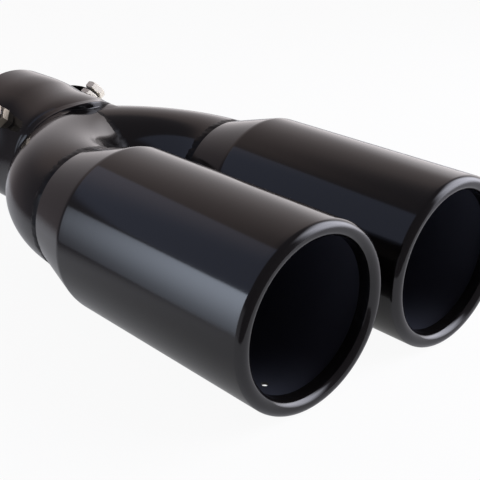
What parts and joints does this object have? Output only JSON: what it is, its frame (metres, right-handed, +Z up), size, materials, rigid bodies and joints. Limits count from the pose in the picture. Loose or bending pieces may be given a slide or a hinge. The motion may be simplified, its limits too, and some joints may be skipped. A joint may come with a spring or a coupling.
{
  "type": "exhaust tip",
  "caption": "Twin-outlet slip-on exhaust tip in gloss black: a belled inlet with clamp bolts splits through mitred elbows into round cans with rolled-in mouths.",
  "frame": {"origin": "centre of the inlet's open end, on the inlet's axis", "axes": "+X from the inlet towards the outlets, +Y to the left, +Z up; the part lies on its cans"},
  "size_m": [0.2735, 0.16, 0.076],
  "materials": {
    "black_paint": "gloss",
    "weld_paint": "gloss",
    "tab_paint": "satin",
    "plated_steel": "satin"
  },
  "bodies": {
    "tip": {"inlet_pipe": "black_paint", "branch_elbow_left": "black_paint", "branch_elbow_right": "black_paint", "outlet_can_left": "black_paint", "outlet_can_right": "black_paint", "inlet_weld": "weld_paint", "crotch_weld": "weld_paint", "can_weld_left": "weld_paint", "can_weld_right": "weld_paint", "clamp_tab_left": "tab_paint", "clamp_tab_right": "tab_paint", "clamp_nut_left": "plated_steel", "clamp_nut_right": "plated_steel"},
    "bolt_left": {"clamp_bolt_left": "plated_steel"},
    "bolt_right": {"clamp_bolt_right": "plated_steel"}
  },
  "joints": [
    {"name": "bolt_slide_left", "type": "slide", "parent": "tip", "child": "bolt_left", "axis": [0, 0.7547, 0.6561], "range_m": [-0.0002, 0.0073]},
    {"name": "bolt_slide_right", "type": "slide", "parent": "tip", "child": "bolt_right", "axis": [0, -0.8192, 0.5736], "range_m": [-0.0002, 0.0073]}
  ]
}
